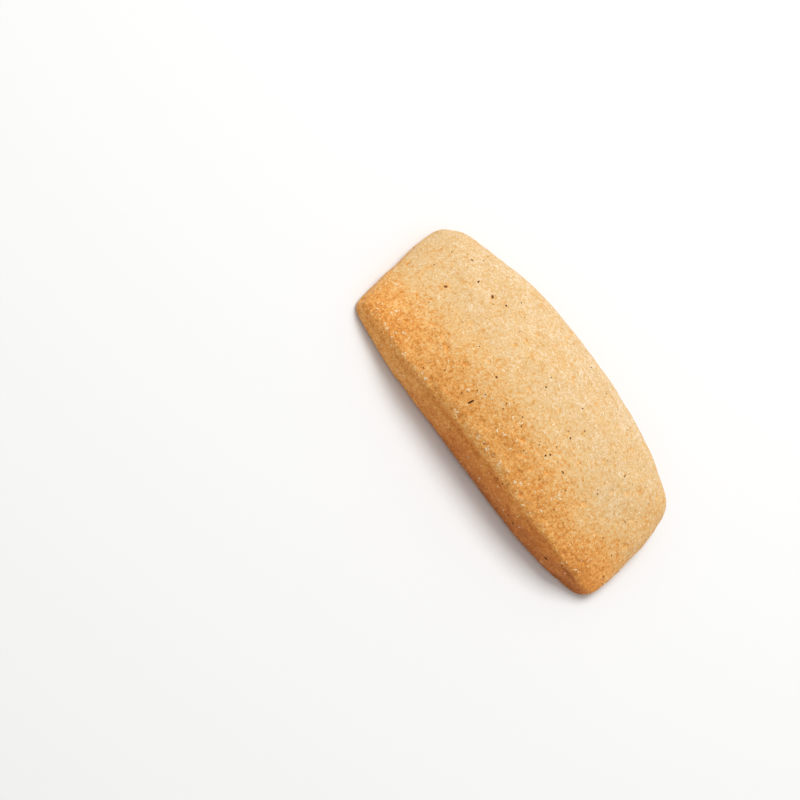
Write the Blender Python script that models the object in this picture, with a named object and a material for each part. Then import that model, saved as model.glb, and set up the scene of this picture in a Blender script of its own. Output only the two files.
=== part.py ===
"""Shortbread biscuit: a pillow shaped bar of dough, cut from a strip and baked on a flat tray.

Metres, +Z up. X runs along the biscuit, from its left end to its right end, and Y runs across it, from its near
long side to its far one. The origin is in the middle of the flat base, which rests at Z = 0.
"""

import math

import bmesh
import bpy
from mathutils import Vector, noise

MM = 0.001

# The dough block before it is shaped
LENGTH = 70.0 * MM
WIDTH = 34.8 * MM
BLOCK_HEIGHT = 9.0 * MM

# The plan: half widths at the two cut ends, and how late the long sides turn in towards them
NEAR_HALF_LEFT = 15.0 * MM
NEAR_HALF_RIGHT = 12.5 * MM
FAR_HALF_LEFT = 12.0 * MM
FAR_HALF_RIGHT = 12.3 * MM
NEAR_TURN_IN = 4.4
FAR_TURN_IN = 2.8

# The cut ends: slant from the near to the far corner, and how far the middle of an end stands out
LEFT_END_SLANT = -0.9 * MM
RIGHT_END_SLANT = -1.2 * MM
LEFT_END_BOW = 0.7 * MM
RIGHT_END_BOW = 1.2 * MM

# Heights of the two long sides at the left end, in the middle and at the right end, and how late they fall to
# the ends
NEAR_HEIGHTS = (3.4 * MM, 8.4 * MM, 2.4 * MM)
FAR_HEIGHTS = (4.6 * MM, 9.0 * MM, 5.8 * MM)
NEAR_FALLS = (1.5, 4.0)
FAR_FALLS = (1.95, 2.35)

# The puffed top: its rise between the sides, and how late it falls along the biscuit and towards each side
DOME_RISE = 6.6 * MM
DOME_ALONG = 2.2
DOME_NEAR = 2.8
DOME_FAR = 2.4
DOME_STARTS = 1.5

# Rounding: the four corners seen from above, the rim of the top, the foot, and the swell of the long sides
CORNER_NEAR_LEFT = 1.6 * MM
CORNER_NEAR_RIGHT = 2.4 * MM
CORNER_FAR_LEFT = 5.6 * MM
CORNER_FAR_RIGHT = 2.6 * MM
RIM_NEAR_LEFT = 2.0 * MM
RIM_NEAR_RIGHT = 0.9 * MM
RIM_FAR = 4.9 * MM
FOOT = 1.5 * MM
SIDE_SWELL = 0.3 * MM
SIDE_SWELL_EDGE = 6

# Unevenness of the baked crust: (wavelength, height) of each swell, from the longest to the shortest
CRUST_SWELLS = ((15.0 * MM, 0.26 * MM), (6.0 * MM, 0.17 * MM), (2.9 * MM, 0.10 * MM))
CRUST_STARTS = 1.2 * MM

# Faces along, across and up, set closer together towards the edges
FACES_ALONG, FACES_ACROSS, FACES_UP = 58, 32, 9
EDGE_CROWDING = 0.3

CRUST_COLOUR = (0.80, 0.49, 0.21, 1.0)
CRUST_ROUGHNESS = 0.85


def mix(start, end, share):
    """The value that lies a share of the way from start to end."""
    return start + (end - start) * share


def height_along(along, heights, falls):
    """Height of a long side at a place along it, from -1 at the left end to 1 at the right one."""
    left_end, middle, right_end = heights
    left_fall, right_fall = falls
    if along < 0:
        return mix(middle, left_end, (-along)**left_fall)
    return mix(middle, right_end, along**right_fall)


def clear_objects():
    """Empties the scene, so that the script can be run again."""
    for old in list(bpy.data.objects):
        bpy.data.objects.remove(old)


def stations(count):
    """The inner cuts of a side that runs from -1 to 1, closer together near its ends."""
    even = (2 * step / count - 1 for step in range(1, count))
    return [place * (1 + EDGE_CROWDING * (1 - place * place)) for place in even]


def slice_block(block, axis, half, middle, count):
    """Cuts the whole block by planes square to an axis."""
    normal = Vector((0, 0, 0))
    normal[axis] = 1
    for place in stations(count):
        point = Vector((0, 0, 0))
        point[axis] = middle + place * half
        everything = block.verts[:] + block.edges[:] + block.faces[:]
        bmesh.ops.bisect_plane(block, geom=everything, plane_co=point, plane_no=normal, dist=1e-7)


def dough_block():
    """A plain block of dough standing on Z = 0, cut into faces small enough to be shaped."""
    block = bmesh.new()
    bmesh.ops.create_cube(block, size=1.0)
    bmesh.ops.scale(block, vec=(LENGTH, WIDTH, BLOCK_HEIGHT), verts=block.verts)
    bmesh.ops.translate(block, vec=(0, 0, BLOCK_HEIGHT / 2), verts=block.verts)
    slice_block(block, 0, LENGTH / 2, 0.0, FACES_ALONG)
    slice_block(block, 1, WIDTH / 2, 0.0, FACES_ACROSS)
    slice_block(block, 2, BLOCK_HEIGHT / 2, BLOCK_HEIGHT / 2, FACES_UP)
    return block


def rounded(point):
    """Moves a point of the block's skin onto the same block with its corners, rim and foot rounded."""
    half_length, half_width = LENGTH / 2, WIDTH / 2
    to_right = point.x / LENGTH + 0.5
    to_far = point.y / WIDTH + 0.5
    near_corner = mix(CORNER_NEAR_LEFT, CORNER_NEAR_RIGHT, to_right)
    far_corner = mix(CORNER_FAR_LEFT, CORNER_FAR_RIGHT, to_right)
    corner = mix(near_corner, far_corner, to_far)
    near_rim = mix(RIM_NEAR_LEFT, RIM_NEAR_RIGHT, to_right)
    rim = mix(near_rim, RIM_FAR, to_far)
    upright = rim if point.z > BLOCK_HEIGHT / 2 else FOOT
    radii = Vector((corner, corner, upright))
    centre = Vector((
        max(corner - half_length, min(half_length - corner, point.x)),
        max(corner - half_width, min(half_width - corner, point.y)),
        max(FOOT, min(BLOCK_HEIGHT - rim, point.z)),
    ))
    outward = Vector(((point[i] - centre[i]) / radii[i] for i in range(3)))
    outward.normalize()
    return centre + Vector((outward[i] * radii[i] for i in range(3)))


def baked(point):
    """Gives a point of the rounded block its place on the baked biscuit: waisted ends, thin ends and a domed top."""
    along = 2 * point.x / LENGTH
    across = 2 * point.y / WIDTH
    up = point.z / BLOCK_HEIGHT
    to_end = abs(along)
    left = along < 0

    if across < 0:
        end_half = NEAR_HALF_LEFT if left else NEAR_HALF_RIGHT
        turn_in, dome_across = NEAR_TURN_IN, DOME_NEAR
    else:
        end_half = FAR_HALF_LEFT if left else FAR_HALF_RIGHT
        turn_in, dome_across = FAR_TURN_IN, DOME_FAR
    half_width = mix(WIDTH / 2, end_half, to_end**turn_in)
    swell = SIDE_SWELL * math.sin(math.pi * up) * abs(across)**SIDE_SWELL_EDGE
    y = across * half_width + math.copysign(swell, across)

    bow = 1 - across * across
    if left:
        x = point.x + to_end * (LEFT_END_SLANT * across - LEFT_END_BOW * bow)
    else:
        x = point.x + to_end * (RIGHT_END_SLANT * across + RIGHT_END_BOW * bow)

    near_height = height_along(along, NEAR_HEIGHTS, NEAR_FALLS)
    far_height = height_along(along, FAR_HEIGHTS, FAR_FALLS)
    side_height = mix(near_height, far_height, (across + 1) / 2)
    dome = DOME_RISE * (1 - to_end**DOME_ALONG) * (1 - abs(across)**dome_across)
    z = up * side_height + up**DOME_STARTS * dome
    return Vector((x, y, z))


def uneven(place, outward):
    """Adds the crust's swells along the outward direction. They fade out towards the flat base."""
    fade = min(1.0, place.z / CRUST_STARTS)
    rise = sum(height * noise.noise(place / wavelength) for wavelength, height in CRUST_SWELLS)
    return place + outward * (rise * fade)


def shape_biscuit(block):
    """Rounds, bakes and roughens the block, in that order."""
    for vert in block.verts:
        vert.co = baked(rounded(vert.co))
    bmesh.ops.recalc_face_normals(block, faces=block.faces)
    block.normal_update()
    roughened = [uneven(vert.co, vert.normal) for vert in block.verts]
    for vert, place in zip(block.verts, roughened):
        vert.co = place


def centre_on_base(block):
    """Puts the middle of the biscuit's box over the origin."""
    middles = []
    for axis in (0, 1):
        places = [vert.co[axis] for vert in block.verts]
        middles.append((min(places) + max(places)) / 2)
    bmesh.ops.translate(block, vec=(-middles[0], -middles[1], 0), verts=block.verts)


def crust_material():
    """Plain stand-in for the golden, dry crust."""
    material = bpy.data.materials.new("golden_crust")
    material.use_nodes = True
    shader = material.node_tree.nodes["Principled BSDF"]
    shader.inputs["Base Color"].default_value = CRUST_COLOUR
    shader.inputs["Roughness"].default_value = CRUST_ROUGHNESS
    shader.inputs["Metallic"].default_value = 0.0
    return material


def make_biscuit():
    """The one solid of the model, as an object named shortbread_biscuit."""
    block = dough_block()
    shape_biscuit(block)
    centre_on_base(block)
    mesh = bpy.data.meshes.new("shortbread_biscuit")
    block.to_mesh(mesh)
    block.free()
    mesh.materials.append(crust_material())
    mesh.shade_smooth()
    biscuit = bpy.data.objects.new("shortbread_biscuit", mesh)
    bpy.context.scene.collection.objects.link(biscuit)
    return biscuit


clear_objects()
make_biscuit()
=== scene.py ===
"""Looks of the shortbread biscuit: its baked crust, and the sugar grains and spice flecks in it.

Metres, +Z up, in the CAD model's own frame. The biscuit lies along X, with its near long side towards -Y.
"""

import math
import random

import bmesh
import bpy
from mathutils import Matrix, Vector, noise
from mathutils.bvhtree import BVHTree


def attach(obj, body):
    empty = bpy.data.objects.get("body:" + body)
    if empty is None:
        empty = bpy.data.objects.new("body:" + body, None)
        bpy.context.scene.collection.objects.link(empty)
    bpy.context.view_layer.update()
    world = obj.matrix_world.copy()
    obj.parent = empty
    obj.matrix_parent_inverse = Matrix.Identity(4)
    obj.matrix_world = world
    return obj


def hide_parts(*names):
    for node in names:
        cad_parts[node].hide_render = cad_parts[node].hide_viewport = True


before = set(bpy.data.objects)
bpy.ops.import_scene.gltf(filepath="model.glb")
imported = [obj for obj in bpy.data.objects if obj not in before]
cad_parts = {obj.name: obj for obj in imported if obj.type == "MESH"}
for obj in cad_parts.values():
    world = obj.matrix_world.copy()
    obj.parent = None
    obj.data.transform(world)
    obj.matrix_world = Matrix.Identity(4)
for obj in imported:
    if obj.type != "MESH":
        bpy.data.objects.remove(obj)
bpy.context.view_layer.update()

MM = 0.001

# Camera
# It looks at the biscuit from well above its near long side. The biscuit lies flat and square to the
# axes, so the camera is rolled, and the biscuit runs down to the right in the picture.
VIEW_AZIMUTH = math.radians(-6.48)
VIEW_ELEVATION = math.radians(56.66)
VIEW_ROLL = math.radians(58.88)
VIEW_ASIDE = -21.39 * MM
VIEW_UP = 2.08 * MM
VIEW_DISTANCE = 600 * MM
LENS_LENGTH = 142.0
SENSOR_WIDTH = 36.0

view_turn = (
    Matrix.Rotation(VIEW_AZIMUTH, 4, "Z")
    @ Matrix.Rotation(math.pi / 2 - VIEW_ELEVATION, 4, "X")
    @ Matrix.Rotation(VIEW_ROLL, 4, "Z")
)
camera = bpy.data.objects.new("camera", bpy.data.cameras.new("camera"))
camera.data.lens = LENS_LENGTH
camera.data.sensor_width = SENSOR_WIDTH
camera.matrix_world = view_turn @ Matrix.Translation((VIEW_ASIDE, VIEW_UP, VIEW_DISTANCE))
bpy.context.scene.collection.objects.link(camera)
bpy.context.scene.camera = camera

# Crust
# The biscuit is one piece of short, sandy dough, cut from a strip and baked on a flat tray. Its skin
# dries to a matt grain, pale gold on top and toasted along the near rim and on the side walls.
HALF_LENGTH = 36.3 * MM
HALF_WIDTH = 17.9 * MM

MERGE_DISTANCE = 0.001 * MM
FINE_MESH = 0.28 * MM
SMOOTHING_PASSES = 3

# Relief of the skin: (wavelength, height) of its lumps, and the sizes of its grains and pits. PIT_LEVEL
# is how high the noise has to be for a pit, PIT_SHIFT keeps the pits off the lumps' own pattern, and
# BASE_FADE is the height over which the relief fades out towards the base.
SKIN_LUMPS = ((4.5 * MM, 0.05 * MM), (1.9 * MM, 0.045 * MM), (0.85 * MM, 0.05 * MM))
GRAIN_SIZE = 0.75 * MM
GRAIN_HEIGHT = 0.06 * MM
PIT_SPACING = 1.3 * MM
PIT_LEVEL = 0.34
PIT_DEPTH = 0.5 * MM
PIT_SHIFT = Vector((3.7, 1.9, 5.3))
BASE_FADE = 0.6 * MM

# Skin that faces down more than this is the underside. A slope is how far down the skin faces, from -1
# for the top to 1 for the base, and a facing is how far it faces the near side. A pair of either says
# where something sets in and where it is full.
UNDERSIDE_SLOPE = 0.5

# The cut side walls: their streaks, the crisp near rim with its ragged lip, and the groove under it.
# RIM_HEIGHTS and RIM_FALLS are the near rim's heights at the left end, in the middle and at the right
# end, and how late it falls to the ends. The top rises a little towards the rim, and over RIM_EDGE below
# the rim the wall starts. The lip and the groove come in pieces: each is missing where its noise is below
# the first of its breaks, and whole above the second.
STREAK_LENGTH = 5.0 * MM
STREAK_WIDTH = 1.1 * MM
STREAK_HEIGHT = 0.09 * MM
RIM_HEIGHTS = (3.4 * MM, 8.4 * MM, 2.4 * MM)
RIM_FALLS = (1.5, 4.0)
RIM_EDGE = (0.0 * MM, 0.30 * MM)
RIM_RISE = 0.42 * MM
RISE_SLOPES = (-0.92, -0.66)
RISE_FACINGS = (0.2, 0.6)
GROOVE_BELOW = 1.0 * MM
GROOVE_WIDTH = 0.45 * MM
GROOVE_DEPTH = 0.22 * MM
GROOVE_PIECES = 3.4 * MM
GROOVE_BREAKS = (-0.45, 0.2)
GROOVE_FACING = 0.5
LIP_HEIGHT = 0.16 * MM
LIP_SLOPES = (-0.92, -0.60)
LIP_FACINGS = (0.2, 0.5)
LIP_PIECES = 1.3 * MM
LIP_BREAKS = (-0.4, 0.4)

# Where the top turns into a wall: by its slope where the rim is soft, which wanders up and down by
# patches, and at the rim's height where it is crisp, which is only on skin that faces the near side
SOFT_SLOPES = (-0.62, 0.10)
WALL_WANDER = 0.30
WALL_PATCHES = 3.5 * MM
CRISP_FACINGS = (0.35, 0.6)

# The near left corner slumped in the oven. CRISP_REACH is where the rim turns from soft to crisp. The
# other three are where, to the left, to the near side and upwards, its rounding sets in and is full.
CRISP_REACH = (-31.0 * MM, -19.0 * MM)
SLUMP_REACH = (20.0 * MM, 34.0 * MM)
SLUMP_ACROSS = (7.0 * MM, 12.0 * MM)
SLUMP_UP = (0.5 * MM, 1.6 * MM)
SLUMP_PASSES = 120

# Creases and shallow hollows in the near wall: place, half length, half width and depth
CREASES = (
    (Vector((27.2, -16.1, 3.8)) * MM, 1.5 * MM, 0.45 * MM, 0.35 * MM),
    (Vector((28.6, -15.6, 5.1)) * MM, 1.3 * MM, 0.45 * MM, 0.28 * MM),
    (Vector((12.0, -17.4, 2.2)) * MM, 2.2 * MM, 0.35 * MM, 0.20 * MM),
    (Vector((11.0, -17.6, 1.5)) * MM, 4.5 * MM, 4.0 * MM, 0.36 * MM),
    (Vector((31.5, -14.6, 1.0)) * MM, 3.5 * MM, 4.0 * MM, 0.60 * MM),
)

# A crease has faded out at this many half lengths from its middle
CREASE_ENDS = 3


def copied_shape(node):
    """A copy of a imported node's mesh, with its loose triangles merged."""
    shape = bmesh.new()
    shape.from_mesh(node.data)
    bmesh.ops.remove_doubles(shape, verts=shape.verts, dist=MERGE_DISTANCE)
    return shape


def finely_meshed(shape):
    """The same form as an even mesh of small squares."""
    mesh = bpy.data.meshes.new("rough_form")
    shape.to_mesh(mesh)
    rough = bpy.data.objects.new("rough_form", mesh)
    bpy.context.scene.collection.objects.link(rough)
    remesh = rough.modifiers.new("fine_mesh", "REMESH")
    remesh.mode = "VOXEL"
    remesh.voxel_size = FINE_MESH
    evaluated = rough.evaluated_get(bpy.context.evaluated_depsgraph_get())
    fine = bmesh.new()
    fine.from_mesh(evaluated.to_mesh())
    evaluated.to_mesh_clear()
    bpy.data.objects.remove(rough)
    return fine


def ramp(value, start, end):
    """A smooth step from 0 at start to 1 at end."""
    share = max(0.0, min(1.0, (value - start) / (end - start)))
    return share * share * (3 - 2 * share)


def bell(value, half_width):
    """1 at zero, fading out to both sides. It is down to about a third at the half width."""
    return math.exp(-(value / half_width)**2)


def below_rim(place):
    """How far a place lies below the near rim."""
    along = place.x / HALF_LENGTH
    left_height, middle_height, right_height = RIM_HEIGHTS
    left_fall, right_fall = RIM_FALLS
    end_height, fall = (left_height, left_fall) if along < 0 else (right_height, right_fall)
    rim = middle_height + (end_height - middle_height) * abs(along)**fall
    return rim - place.z


def crispness(place):
    """How crisp the near rim is, from 0 at the left end to 1."""
    return ramp(place.x, *CRISP_REACH)


def upright(place, outward):
    """How much of a wall the skin is, from 0 to 1. Only the near wall starts at a crisp rim."""
    up = outward.z + WALL_WANDER * noise.noise(place / WALL_PATCHES)
    soft = ramp(-up, *SOFT_SLOPES)
    crisp = ramp(below_rim(place), *RIM_EDGE)
    return soft + (crisp - soft) * ramp(-outward.y, *CRISP_FACINGS) * crispness(place)


def streak(place):
    """The long, low streaks that the cut leaves in a wall, from -1 to 1."""
    stretched = (place.x / STREAK_LENGTH, place.y / STREAK_LENGTH, place.z / STREAK_WIDTH)
    return noise.noise(Vector(stretched))


def lip(place, outward):
    """How much a place belongs to the ragged lip of the near rim, from 0 to 1."""
    at_rim = ramp(-outward.z, *LIP_SLOPES) * (1 - upright(place, outward))
    round_rim = at_rim * ramp(-outward.y, *LIP_FACINGS)
    return round_rim * ramp(noise.noise(place / LIP_PIECES), *LIP_BREAKS) * crispness(place)


def groove(place, outward):
    """How deep a place lies in the broken groove under the near rim's lip, from 0 to 1."""
    if outward.y > -GROOVE_FACING:
        return 0.0
    # Read along one line of the noise, so that a break goes straight through the groove
    broken = ramp(noise.noise(Vector((place.x / GROOVE_PIECES, 0.5, 0.5))), *GROOVE_BREAKS)
    return bell(below_rim(place) - GROOVE_BELOW, GROOVE_WIDTH) * broken * crispness(place)


def grain_rise(place):
    """How far the grains of the skin stand out at a place, or its pits go in where negative."""
    rise = sum(height * noise.noise(place / wavelength) for wavelength, height in SKIN_LUMPS)
    rise += GRAIN_HEIGHT * (0.5 - noise.voronoi(place / GRAIN_SIZE)[0][0])
    return rise - PIT_DEPTH * max(0.0, noise.noise(place / PIT_SPACING + PIT_SHIFT) - PIT_LEVEL)


def edge_rise(place, outward):
    """How far the lip and the walls' streaks stand out at a place, or the groove and creases go in."""
    rise = STREAK_HEIGHT * streak(place) * upright(place, outward)
    rise += LIP_HEIGHT * lip(place, outward) - GROOVE_DEPTH * groove(place, outward)
    towards_rim = ramp(-outward.z, *RISE_SLOPES) * (1 - ramp(below_rim(place), *RIM_EDGE))
    rise += RIM_RISE * towards_rim * ramp(-outward.y, *RISE_FACINGS) * crispness(place)
    for middle, half_length, half_width, depth in CREASES:
        away = place - middle
        if away.length < CREASE_ENDS * half_length:
            rise -= depth * bell(away.xy.length, half_length) * bell(away.z, half_width)
    return rise


def roughened(place, outward, grain, edge):
    """Where a point of the smooth form lies on the baked skin. The underside is only pitted."""
    if outward.z < -UNDERSIDE_SLOPE:
        return place - outward * abs(grain)
    moved = place + outward * (grain + edge) * min(1.0, place.z / BASE_FADE)
    moved.z = max(moved.z, 0.0)
    return moved


# Toasting: each part of the crust and how golden it bakes, from 0 for cream to 1 for deep orange. It also
# holds painted light: the lip is painted paler as a highlight, the hollows deeper orange as shade, and
# the near wall's deep toast is partly painted shade. The spreads are shares of the way from the biscuit's
# middle to that side, where the change sets in and is full. The other walls are the far one and those of
# the two ends.
TOP_TOAST = 0.28
FAR_PALING = 0.07
FAR_SPREAD = (0.1, 0.7)
NEAR_TOAST = 0.46
NEAR_SPREAD = (0.0, 1.05)
RIGHT_TOAST = 0.22
RIGHT_SPREAD = (0.6, 1.0)
LEFT_TOAST = 0.04
LEFT_SPREAD = (0.7, 1.0)
# Painted highlight: the ragged lip of the near rim is painted paler, as if it caught the light
LIP_PAINTED_HIGHLIGHT = 0.07
# The near wall's deep toast is partly baked and partly painted shade; the other walls are paler
NEAR_WALL_TOAST_AND_SHADE = 0.88
LEFT_NEAR_WALL_TOAST_AND_SHADE = 0.76
OTHER_WALL_TOAST = 0.64
TOAST_FACINGS = (0.35, 0.7)
# Painted shade in the hollows, which are painted deeper orange, and painted light on the bumps, which are
# painted paler
HOLLOW_PAINTED_SHADE = 0.9 / MM

# Places on the top that caught more heat: place, reach and how much more they toast
HOT_SPOTS = (
    (Vector((-28.0, -13.0)) * MM, 7.0 * MM, 0.17),
    (Vector((32.0, -12.0)) * MM, 7.0 * MM, 0.12),
    (Vector((12.0, -14.0)) * MM, 8.0 * MM, 0.05),
    (Vector((21.0, 9.5)) * MM, 6.0 * MM, 0.08),
    (Vector((-26.9, -1.6)) * MM, 0.8 * MM, 0.30),
)

# Browning of the walls and the underside, from 0 for none to 1 for brown. On the near wall, and most at
# its foot, it is partly baked browning and partly painted shade, and in the groove under the lip it is
# painted shade. It sets in below the first of its two heights and is full at the second. Over the right
# reach RIGHT_BROWN comes on top, and over the left one it falls to LEFT_SHARE of itself. The far wall and
# the two ends keep OTHER_SHARE. The underside is the skin that faces down more than BASE_SLOPE and lies
# lower than BASE_HEIGHT.
WALL_BROWN_AND_SHADE = 0.73
RIGHT_BROWN = 0.08
RIGHT_REACH = (4.0 * MM, 15.0 * MM)
WALL_BROWN_HEIGHTS = (8.2 * MM, 3.6 * MM)
FOOT_BROWN_AND_SHADE = 0.38
FOOT_BROWN_HEIGHTS = (3.0 * MM, 0.3 * MM)
LEFT_SHARE = 0.05
LEFT_REACH = (0.0 * MM, 20.0 * MM)
OTHER_SHARE = 0.30
BROWN_FACINGS = (0.45, 0.9)
STREAK_BROWN = 0.22
# Painted shade in the groove under the lip
GROOVE_PAINTED_SHADE = 0.42
UNDERSIDE_BROWN = 0.80
BASE_SLOPE = 0.7
BASE_HEIGHT = 0.3 * MM


def toasting_and_painted_light(place, outward):
    """How golden the crust bakes at a place, with a painted highlight on the lip and painted shade on the
    near wall.
    """
    along = place.x / HALF_LENGTH
    across = place.y / HALF_WIDTH
    toast_and_painted_light = TOP_TOAST - FAR_PALING * ramp(across, *FAR_SPREAD)
    toast_and_painted_light += NEAR_TOAST * ramp(-across, *NEAR_SPREAD)
    toast_and_painted_light += RIGHT_TOAST * ramp(along, *RIGHT_SPREAD)
    toast_and_painted_light += LEFT_TOAST * ramp(-along, *LEFT_SPREAD)
    for middle, reach, more in HOT_SPOTS:
        toast_and_painted_light += more * bell((place.xy - middle).length, reach)
    # Painted highlight on the lip
    toast_and_painted_light -= LIP_PAINTED_HIGHLIGHT * lip(place, outward)
    near_wall_toast_and_shade = NEAR_WALL_TOAST_AND_SHADE + (LEFT_NEAR_WALL_TOAST_AND_SHADE - NEAR_WALL_TOAST_AND_SHADE) * ramp(-place.x, *LEFT_REACH)
    facing_near = ramp(-outward.y, *TOAST_FACINGS)
    wall_toast_and_shade = OTHER_WALL_TOAST + (near_wall_toast_and_shade - OTHER_WALL_TOAST) * facing_near
    return toast_and_painted_light + (wall_toast_and_shade - toast_and_painted_light) * upright(place, outward)


def browning_and_painted_shade(place, outward):
    """How far beyond golden the walls and the underside bake at a place, with painted shade on the near
    wall and in the groove.
    """
    if outward.z < -BASE_SLOPE and place.z < BASE_HEIGHT:
        return UNDERSIDE_BROWN
    wall_top, wall_middle = WALL_BROWN_HEIGHTS
    foot_top, foot_bottom = FOOT_BROWN_HEIGHTS
    wall_brown_and_painted_shade = WALL_BROWN_AND_SHADE + RIGHT_BROWN * ramp(place.x, *RIGHT_REACH)
    brown_and_painted_shade = wall_brown_and_painted_shade * ramp(-place.z, -wall_top, -wall_middle)
    brown_and_painted_shade += FOOT_BROWN_AND_SHADE * ramp(-place.z, -foot_top, -foot_bottom)
    brown_and_painted_shade *= 1 - (1 - LEFT_SHARE) * ramp(-place.x, *LEFT_REACH)
    # The groove under the lip is darkened as painted shade
    brown_and_painted_shade += STREAK_BROWN * streak(place) + GROOVE_PAINTED_SHADE * groove(place, outward)
    # The near wall gets all of it, its painted shade included, and the far wall and the ends a share
    share = OTHER_SHARE + (1 - OTHER_SHARE) * ramp(-outward.y, *BROWN_FACINGS)
    return brown_and_painted_shade * upright(place, outward) * share


def smooth_once(fine, verts):
    """Moves each of the given vertices halfway to the middle of its neighbours."""
    bmesh.ops.smooth_vert(
        fine, verts=verts, factor=0.5, use_axis_x=True, use_axis_y=True, use_axis_z=True
    )


def slump(fine):
    """Rounds off the near left corner, the more the closer to it."""
    softness = {}
    for vert in fine.verts:
        along = ramp(-vert.co.x, *SLUMP_REACH)
        soft = along * ramp(-vert.co.y, *SLUMP_ACROSS) * ramp(vert.co.z, *SLUMP_UP)
        if soft > 0:
            softness[vert] = soft
    for step in range(SLUMP_PASSES):
        smooth_once(fine, [vert for vert, soft in softness.items() if soft > step / SLUMP_PASSES])


def shape_crust(fine):
    """Smooths the even mesh, roughens it and marks how it bakes, with its painted light and shade.
    Hollows are painted a little more golden as shade, and bumps a little paler as light.
    """
    for _ in range(SMOOTHING_PASSES):
        smooth_once(fine, fine.verts)
    slump(fine)
    fine.normal_update()
    toast_and_painted_light = fine.verts.layers.float.new("toast_and_painted_light")
    brown_and_painted_shade = fine.verts.layers.float.new("brown_and_painted_shade")
    wall = fine.verts.layers.float.new("wall")
    places = []
    for vert in fine.verts:
        grain = grain_rise(vert.co)
        edge = edge_rise(vert.co, vert.normal)
        vert[toast_and_painted_light] = toasting_and_painted_light(vert.co, vert.normal) - HOLLOW_PAINTED_SHADE * grain
        vert[brown_and_painted_shade] = browning_and_painted_shade(vert.co, vert.normal)
        vert[wall] = upright(vert.co, vert.normal)
        places.append(roughened(vert.co, vert.normal, grain, edge))
    for vert, place in zip(fine.verts, places):
        vert.co = place


def add_piece(shape, name):
    """Makes an object of a finished bmesh, in place, and frees the bmesh."""
    mesh = bpy.data.meshes.new(name)
    shape.to_mesh(mesh)
    shape.free()
    piece = bpy.data.objects.new(name, mesh)
    bpy.context.scene.collection.objects.link(piece)
    return piece


def new_finish(name):
    """A new material: the material, its node tree and its shader."""
    material = bpy.data.materials.new(name)
    material.use_nodes = True
    tree = material.node_tree
    return material, tree, tree.nodes["Principled BSDF"]


def feed(tree, socket, value):
    """Links an input to a value that is an output of another node, and sets it to any other value."""
    if isinstance(value, bpy.types.NodeSocket):
        tree.links.new(value, socket)
    else:
        socket.default_value = value


def add_node(tree, kind, settings=None, **inputs):
    """Adds a node with the given settings, and feeds its inputs by their names."""
    new = tree.nodes.new("ShaderNode" + kind)
    for name, value in (settings or {}).items():
        setattr(new, name, value)
    for name, value in inputs.items():
        feed(tree, new.inputs[name], value)
    return new


def calculate(tree, operation, *values):
    """Adds a Math node, feeds its inputs in their order and returns its result."""
    new = add_node(tree, "Math", {"operation": operation})
    for socket, value in zip(new.inputs, values):
        feed(tree, socket, value)
    return new.outputs[0]


def colour_ramp(tree, factor, stops):
    """Adds a ColorRamp with the given (position, colour) stops and returns its colour."""
    new = add_node(tree, "ValToRGB", Fac=factor)
    elements = new.color_ramp.elements
    while len(elements) < len(stops):
        elements.new(1.0)
    for element, (position, colour) in zip(elements, stops):
        element.position = position
        element.color = (*colour, 1.0)
    return new.outputs["Color"]


# Colours of the baked crust, from cream to deep orange, by how much they are toasted
CRUST_COLOURS = (
    (0.00, (0.710, 0.560, 0.375)),
    (0.24, (0.697, 0.480, 0.258)),
    (0.32, (0.718, 0.480, 0.225)),
    (0.46, (0.742, 0.459, 0.190)),
    (0.64, (0.790, 0.404, 0.122)),
    (0.78, (0.790, 0.348, 0.080)),
    (1.00, (0.700, 0.260, 0.050)),
)

# What browning and painted shade leave of those colours, by how much they are browned or shaded
BROWN_AND_SHADE_TINTS = (
    (0.00, (1.0, 1.0, 1.0)),
    (0.50, (0.88, 0.77, 0.72)),
    (0.75, (0.77, 0.63, 0.60)),
    (1.00, (0.62, 0.475, 0.46)),
)
CRUST_ROUGHNESS = 0.82
CRUST_SPECULAR = 0.20
CRUST_SHEEN = 0.06
SHEEN_ROUGHNESS = 0.5

# Unevenness of the toasting: (size of its patches, how much they add or take)
TOAST_PATCHES = ((9.0 * MM, 0.17), (3.6 * MM, 0.19), (1.7 * MM, 0.25), (0.9 * MM, 0.34))
PATCH_DETAIL = 1.0
PATCH_ROUGHNESS = 0.5

# The sandy grain: (size of the grains, how much more golden the skin is between them)
SANDY_GRAINS = ((0.62 * MM, 0.31), (0.34 * MM, 0.50))

# Pale, thin, curved ridges of dough: their spacing, how much paler they are, and their noise's mean
RIDGE_SPACING = 1.0 * MM
RIDGE_PALING = 0.20
RIDGE_MIDDLE = 0.22

# How much darker the more golden skin is, and the share of all the unevenness that the walls lose
GRAIN_SHADE = 0.58
WALL_CALM = 0.20

# The finest grain, which is too small for the mesh
BUMP_GRAIN = 0.35 * MM
BUMP_DETAIL = 2.0
BUMP_ROUGHNESS = 0.6
BUMP_HEIGHT = 0.022 * MM


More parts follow.
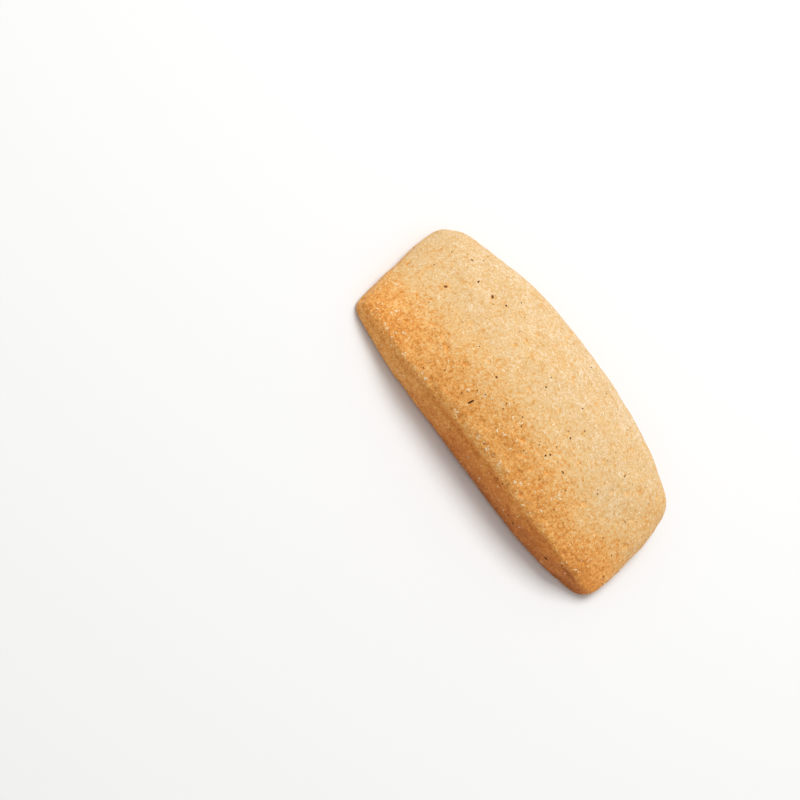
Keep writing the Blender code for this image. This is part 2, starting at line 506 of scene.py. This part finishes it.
def crust_finish():
    """Matt baked crust: toasted where the mesh says so, with the painted light and shade it carries,
    patchy, and more golden between pale grains.
    """
    material, tree, shader = new_finish("baked_crust")
    place = add_node(tree, "TexCoord").outputs["Object"]
    swing = 0.0
    for size, amount in TOAST_PATCHES:
        patches = add_node(
            tree, "TexNoise", Vector=place, Scale=1 / size, Detail=PATCH_DETAIL, Roughness=PATCH_ROUGHNESS
        )
        swing = calculate(tree, "MULTIPLY_ADD", patches.outputs["Fac"], amount, swing)
    for size, amount in SANDY_GRAINS:
        grains = add_node(tree, "TexVoronoi", Vector=place, Scale=1 / size)
        swing = calculate(tree, "MULTIPLY_ADD", grains.outputs["Distance"], amount, swing)
    ridged = {"noise_type": "RIDGED_MULTIFRACTAL"}
    ridges = add_node(tree, "TexNoise", ridged, Vector=place, Scale=1 / RIDGE_SPACING, Detail=0.0)
    swing = calculate(tree, "MULTIPLY_ADD", ridges.outputs["Fac"], -RIDGE_PALING, swing)
    middle = sum(amount for _, amount in TOAST_PATCHES + SANDY_GRAINS) / 2
    swing = calculate(tree, "SUBTRACT", swing, middle - RIDGE_PALING * RIDGE_MIDDLE)
    wall = add_node(tree, "Attribute", {"attribute_name": "wall"}).outputs["Fac"]
    swing = calculate(tree, "MULTIPLY", swing, calculate(tree, "MULTIPLY_ADD", wall, -WALL_CALM, 1.0))
    toast_and_painted_light = add_node(tree, "Attribute", {"attribute_name": "toast_and_painted_light"}).outputs["Fac"]
    golden = colour_ramp(tree, calculate(tree, "ADD", toast_and_painted_light, swing), CRUST_COLOURS)
    brown_and_painted_shade = add_node(tree, "Attribute", {"attribute_name": "brown_and_painted_shade"}).outputs["Fac"]
    browned_and_shaded = add_node(tree, "VectorMath", {"operation": "MULTIPLY"})
    tree.links.new(golden, browned_and_shaded.inputs[0])
    tree.links.new(colour_ramp(tree, brown_and_painted_shade, BROWN_AND_SHADE_TINTS), browned_and_shaded.inputs[1])
    tinted = browned_and_shaded.outputs["Vector"]
    shade = calculate(tree, "MULTIPLY_ADD", swing, -GRAIN_SHADE, 1.0)
    shaded = add_node(tree, "VectorMath", {"operation": "SCALE"}, Vector=tinted, Scale=shade)

    finest = add_node(
        tree, "TexNoise", Vector=place, Scale=1 / BUMP_GRAIN, Detail=BUMP_DETAIL, Roughness=BUMP_ROUGHNESS
    )
    bump = add_node(tree, "Bump", Height=finest.outputs["Fac"], Strength=1.0, Distance=BUMP_HEIGHT)
    tree.links.new(shaded.outputs["Vector"], shader.inputs["Base Color"])
    tree.links.new(bump.outputs["Normal"], shader.inputs["Normal"])
    shader.inputs["Roughness"].default_value = CRUST_ROUGHNESS
    shader.inputs["Specular IOR Level"].default_value = CRUST_SPECULAR
    shader.inputs["Sheen Weight"].default_value = CRUST_SHEEN
    shader.inputs["Sheen Roughness"].default_value = SHEEN_ROUGHNESS
    return material


dough = finely_meshed(copied_shape(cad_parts["shortbread_biscuit"]))
shape_crust(dough)
crust_surface = BVHTree.FromBMesh(dough)
skin_spots = [(face.calc_center_median(), face.normal.copy()) for face in dough.faces]
crust = add_piece(dough, "crust")
crust.data.materials.append(crust_finish())
crust.data.shade_smooth()
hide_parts("shortbread_biscuit")
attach(crust, "root")

# Sugar grains
# Coarse sugar in the dough comes through the skin as pale, blunt crystals. Most sit more than half sunk,
# in loose clusters, and show best on the toasted rim. Some lie so close that they look like one crumb.
SUGAR_SEED = 11
SUGAR_COUNT = 1100
SUGAR_SIZES = (0.13 * MM, 0.40 * MM)
SUGAR_STRETCH = (1.1, 2.6)
SUGAR_THICKNESS = 0.45
SUGAR_SUNK = 0.52
SUGAR_ROUGHNESS = 0.45
SUGAR_SPECULAR = 0.4
SUGAR_COLOURS = (
    (0.0, (0.77, 0.51, 0.23)),
    (1.0, (0.90, 0.69, 0.42)),
)

# How the scattered grains are spread: the size of the clusters, how many of the grains that are tried
# stay, how much that changes from cluster to cluster, the share that stays on a wall, and how far the
# small and the duller grains outnumber the others
SUGAR_CLUSTERS = 6.0 * MM
SUGAR_SHARE = 0.6
SUGAR_SWING = 1.6
WALL_SHARE = 0.3
SUGAR_BIAS = 1.5

# No grain is scattered lower than this, or where the skin faces down more than this
LOWEST_SPOT = 0.8 * MM
LOWEST_SLOPE = 0.3

# Further up and further to the near side than the biscuit reaches
OUTSIDE = 40 * MM

# A grain's corners lie between these shares of their even distance from its middle
GRAIN_CORNERS = (0.75, 1.15)

# Close groups of grains, and their places: x, y, length, width and turn in degrees
GROUP_GRAINS = 5
GROUP_SIZES = (0.18 * MM, 0.36 * MM)
GROUP_SUNK = 0.40
GROUP_TONES = (0.5, 1.0)
GRAIN_GROUPS = (
    (16.3, -11.2, 0.85, 0.45, 110),
    (16.1, -12.4, 1.20, 0.30, 82),
    (9.4, -15.8, 0.90, 0.75, 41),
    (1.4, -16.6, 0.80, 0.50, 22),
    (-17.1, -16.6, 0.85, 0.32, 0),
    (-7.4, -16.6, 1.60, 0.32, 166),
    (-21.8, -16.6, 0.80, 0.45, 147),
    (1.0, -13.1, 0.60, 0.40, 170),
    (-24.8, -14.1, 0.75, 0.45, 8),
    (5.2, -7.0, 0.60, 0.42, 128),
    (-15.9, -17.0, 0.75, 0.32, 12),
    (-1.4, -16.4, 0.55, 0.34, 175),
    (5.0, -16.5, 0.50, 0.28, 158),
    (-0.2, -13.6, 0.62, 0.24, 151),
    (-28.3, -15.1, 0.50, 0.26, 128),
    (-27.4, -15.4, 0.46, 0.26, 46),
    (-32.7, -7.5, 0.50, 0.30, 49),
    (-9.5, -13.1, 0.50, 0.26, 18),
    (-28.9, -12.0, 0.50, 0.26, 149),
    (4.8, -16.1, 0.45, 0.26, 157),
    (10.2, -15.3, 0.35, 0.30, 0),
    (3.4, -12.1, 0.55, 0.22, 115),
    (-0.3, -10.2, 0.55, 0.22, 176),
    (-26.1, -4.3, 0.35, 0.30, 0),
)


def spot_from_above(x, y):
    """The place and outward direction of the crust straight below (x, y)."""
    place, outward, _, _ = crust_surface.ray_cast(Vector((x, y, OUTSIDE)), Vector((0, 0, -1)))
    return place, outward


def seat(spot, size, turn, sunk):
    """The matrix that seats a shape of size one on the crust, sunk in by a share of its thickness."""
    place, outward = spot
    sideways = outward.cross(Vector((1, 0, 0))).normalized()
    facing = Matrix((sideways.cross(outward), sideways, outward)).transposed().to_4x4()
    lifted = Matrix.Translation(place + outward * size.z * (0.5 - sunk))
    return lifted @ facing @ Matrix.Rotation(turn, 4, "Z") @ Matrix.Diagonal((*size, 1.0))


def add_grain(shape, tones, matrix, tone, chance):
    """Adds one blunt, uneven grain of a given tone to a bmesh."""
    verts = bmesh.ops.create_icosphere(shape, subdivisions=1, radius=0.5, matrix=matrix)["verts"]
    middle = matrix.translation
    for vert in verts:
        vert[tones] = tone
        vert.co = middle + (vert.co - middle) * chance.uniform(*GRAIN_CORNERS)


def grain_finish(name, colours, roughness, specular):
    """Grains of one kind, each with its own tone between the given colours."""
    material, tree, shader = new_finish(name)
    tone = add_node(tree, "Attribute", {"attribute_name": "tone"}).outputs["Fac"]
    tree.links.new(colour_ramp(tree, tone, colours), shader.inputs["Base Color"])
    shader.inputs["Roughness"].default_value = roughness
    shader.inputs["Specular IOR Level"].default_value = specular
    return material


def random_spot(chance):
    """A place and outward direction anywhere on the crust but its foot and underside."""
    while True:
        place, outward = chance.choice(skin_spots)
        if outward.z > -LOWEST_SLOPE and place.z > LOWEST_SPOT:
            return place, outward


def biased_size(chance, sizes, bias):
    """A size between the two given ones, the smaller the likelier."""
    smallest, largest = sizes
    return smallest + (largest - smallest) * chance.random()**bias


def add_sugar():
    """All sugar grains, as one bmesh."""
    chance = random.Random(SUGAR_SEED)
    shape = bmesh.new()
    tones = shape.verts.layers.float.new("tone")
    for x, y, length, width, turn in GRAIN_GROUPS:
        lie = Matrix.Rotation(math.radians(turn), 2)
        for _ in range(GROUP_GRAINS):
            along = chance.uniform(-0.5, 0.5) * length
            across = chance.uniform(-0.5, 0.5) * width
            away = lie @ Vector((along, across))
            spot = spot_from_above((x + away.x) * MM, (y + away.y) * MM)
            wide = chance.uniform(*GROUP_SIZES)
            size = Vector((wide * chance.uniform(*SUGAR_STRETCH), wide, wide * SUGAR_THICKNESS))
            matrix = seat(spot, size, chance.uniform(0, math.tau), GROUP_SUNK)
            add_grain(shape, tones, matrix, chance.uniform(*GROUP_TONES), chance)
    placed = 0
    while placed < SUGAR_COUNT:
        spot = random_spot(chance)
        share = SUGAR_SHARE + SUGAR_SWING * noise.noise(spot[0] / SUGAR_CLUSTERS)
        if chance.random() > share * (1 - (1 - WALL_SHARE) * upright(*spot)):
            continue
        wide = biased_size(chance, SUGAR_SIZES, SUGAR_BIAS)
        size = Vector((wide * chance.uniform(*SUGAR_STRETCH), wide, wide * SUGAR_THICKNESS))
        matrix = seat(spot, size, chance.uniform(0, math.tau), SUGAR_SUNK)
        add_grain(shape, tones, matrix, chance.random()**SUGAR_BIAS, chance)
        placed += 1
    return shape


sugar = add_piece(add_sugar(), "sugar_grains")
sugar.data.materials.append(grain_finish("sugar", SUGAR_COLOURS, SUGAR_ROUGHNESS, SUGAR_SPECULAR))
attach(sugar, "root")

# Spice flecks
# Ground spice was stirred into the dough. Its dark splinters and red-brown husks lie flat in the skin, a
# few of them about a millimetre long and most no bigger than a pinprick.
SPICE_SEED = 5
SPICE_THICKNESS = 0.22 * MM
SPICE_SUNK = 0.30
SPICE_ROUGHNESS = 0.8
SPICE_SPECULAR = 0.1
SPICE_COLOURS = (
    (0.0, (0.060, 0.018, 0.009)),
    (0.4, (0.185, 0.060, 0.016)),
    (0.7, (0.370, 0.130, 0.030)),
    (1.0, (0.560, 0.290, 0.080)),
)

# The large ones that show from above: x, y, length, width, turn in degrees and tone
LARGE_FLECKS = (
    (-7.4, -14.0, 1.35, 0.36, 80, 0.00),
    (-20.2, 3.8, 0.95, 0.60, 148, 0.40),
    (-26.9, -1.6, 0.80, 0.60, 17, 0.50),
    (-17.3, 4.4, 0.60, 0.42, 148, 0.05),
    (-23.9, 4.0, 0.75, 0.40, 98, 0.20),
    (9.3, -3.3, 0.60, 0.40, 121, 0.20),
    (21.8, 3.6, 0.80, 0.30, 97, 0.45),
    (8.9, -9.4, 0.45, 0.40, 141, 0.00),
    (9.3, -8.6, 0.48, 0.45, 0, 0.35),
    (-8.2, -8.0, 0.65, 0.40, 176, 0.50),
    (-27.7, 7.1, 0.80, 0.30, 175, 0.35),
    (-1.0, -1.3, 0.50, 0.35, 20, 0.35),
    (13.4, -8.4, 0.80, 0.26, 175, 0.10),
    (1.8, 11.3, 0.50, 0.30, 63, 0.20),
    (6.5, 2.7, 0.46, 0.24, 75, 0.35),
    (34.6, -8.8, 0.60, 0.24, 145, 0.50),
    (1.8, -9.9, 0.44, 0.26, 148, 0.25),
    (20.3, -3.8, 0.34, 0.30, 0, 0.50),
    (-1.8, 0.9, 0.32, 0.28, 0, 0.35),
    (0.3, -16.3, 0.40, 0.24, 12, 0.45),
    (-15.9, 7.6, 0.32, 0.28, 0, 0.30),
    (10.0, 0.3, 0.38, 0.22, 9, 0.40),
    (11.8, -12.5, 0.75, 0.16, 82, 0.55),
    (-17.6, -16.0, 0.32, 0.28, 0, 0.30),
    (-14.5, -6.3, 0.38, 0.22, 97, 0.45),
    (-6.9, -11.5, 0.38, 0.22, 5, 0.35),
    (-2.8, -10.6, 0.38, 0.22, 30, 0.35),
    (-9.7, -14.2, 0.32, 0.28, 0, 0.35),
    (0.6, -8.8, 0.32, 0.26, 0, 0.40),
    (16.4, -9.7, 0.38, 0.22, 94, 0.35),
    (6.6, -9.2, 0.38, 0.22, 11, 0.35),
    (28.3, -6.7, 0.38, 0.22, 20, 0.30),
    (5.7, -12.0, 0.38, 0.22, 60, 0.40),
    (-31.4, 0.8, 0.38, 0.22, 88, 0.50),
    (-3.2, -9.6, 0.38, 0.22, 0, 0.40),
)

# Those in the near wall: x, height, length, width, turn in degrees and tone
WALL_FLECKS = (
    (24.8, 4.0, 0.90, 0.32, 0, 0.05),
    (15.9, 3.6, 0.80, 0.24, 15, 0.25),
    (14.1, 3.8, 0.50, 0.26, 160, 0.15),
    (27.7, 5.5, 0.50, 0.26, 30, 0.30),
    (8.4, 8.0, 0.34, 0.28, 0, 0.15),
    (7.1, 7.7, 0.30, 0.26, 0, 0.20),
    (-5.5, 5.6, 0.34, 0.26, 0, 0.20),
)

# The small ones, which are scattered. SMALL_BIAS is how far the smallest outnumber the others, and none
# is darker than SMALL_DARKEST.
SMALL_FLECKS = 240
SMALL_SIZES = (0.14 * MM, 0.36 * MM)
SMALL_BIAS = 2
SMALL_STRETCH = (1.0, 1.8)
SMALL_THICKNESS = 0.12 * MM
SMALL_SUNK = 0.45
SMALL_DARKEST = 0.3


def spot_from_front(x, z):
    """The place and outward direction of the near wall at (x, z)."""
    place, outward, _, _ = crust_surface.ray_cast(Vector((x, -OUTSIDE, z)), Vector((0, 1, 0)))
    return place, outward


def add_spice():
    """All spice flecks, as one bmesh: the large ones in their places, and the small ones scattered."""
    chance = random.Random(SPICE_SEED)
    shape = bmesh.new()
    tones = shape.verts.layers.float.new("tone")
    on_top = [(spot_from_above(x * MM, y * MM), *rest) for x, y, *rest in LARGE_FLECKS]
    on_wall = [(spot_from_front(x * MM, z * MM), *rest) for x, z, *rest in WALL_FLECKS]
    for spot, length, width, turn, tone in on_top + on_wall:
        size = Vector((length * MM, width * MM, SPICE_THICKNESS))
        add_grain(shape, tones, seat(spot, size, math.radians(turn), SPICE_SUNK), tone, chance)
    for _ in range(SMALL_FLECKS):
        wide = biased_size(chance, SMALL_SIZES, SMALL_BIAS)
        size = Vector((wide * chance.uniform(*SMALL_STRETCH), wide, SMALL_THICKNESS))
        matrix = seat(random_spot(chance), size, chance.uniform(0, math.tau), SMALL_SUNK)
        tone = SMALL_DARKEST + (1 - SMALL_DARKEST) * math.sqrt(chance.random())
        add_grain(shape, tones, matrix, tone, chance)
    return shape


spice = add_piece(add_spice(), "spice_flecks")
spice.data.materials.append(grain_finish("spice", SPICE_COLOURS, SPICE_ROUGHNESS, SPICE_SPECULAR))
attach(spice, "root")

# Floor and light
# A plain pale floor, a large soft light above the far side, where the photograph's light comes from, and
# an even white surround. The floor lies just low enough not to meet the biscuit's flat base.
FLOOR_SIZE = 1.6
FLOOR_DROP = 0.02 * MM
FLOOR_COLOUR = (0.80, 0.80, 0.795, 1.0)
FLOOR_ROUGHNESS = 0.9
FLOOR_SPECULAR = 0.1
SURROUND_COLOUR = (1.0, 1.0, 1.0, 1.0)
SURROUND_STRENGTH = 0.58
KEY_DIRECTION = Vector((-0.18, 0.40, 0.90)).normalized()
KEY_DISTANCE = 0.7
KEY_SIZE = 0.4
KEY_POWER = 3.9

ground = bmesh.new()
bmesh.ops.create_grid(ground, x_segments=1, y_segments=1, size=FLOOR_SIZE)
bmesh.ops.translate(ground, vec=(0, 0, -FLOOR_DROP), verts=ground.verts)
floor = add_piece(ground, "floor")
floor_material, _, floor_shader = new_finish("pale_floor")
floor_shader.inputs["Base Color"].default_value = FLOOR_COLOUR
floor_shader.inputs["Roughness"].default_value = FLOOR_ROUGHNESS
floor_shader.inputs["Specular IOR Level"].default_value = FLOOR_SPECULAR
floor.data.materials.append(floor_material)

key = bpy.data.objects.new("key_light", bpy.data.lights.new("key_light", "AREA"))
key.data.size = KEY_SIZE
key.data.energy = KEY_POWER
key.location = KEY_DIRECTION * KEY_DISTANCE
key.rotation_mode = "QUATERNION"
key.rotation_quaternion = KEY_DIRECTION.to_track_quat("Z", "Y")
bpy.context.scene.collection.objects.link(key)

surround = bpy.data.worlds.new("surround")
surround.use_nodes = True
background = surround.node_tree.nodes["Background"]
background.inputs["Color"].default_value = SURROUND_COLOUR
background.inputs["Strength"].default_value = SURROUND_STRENGTH
bpy.context.scene.world = surround
bpy.context.scene.view_settings.view_transform = "Standard"
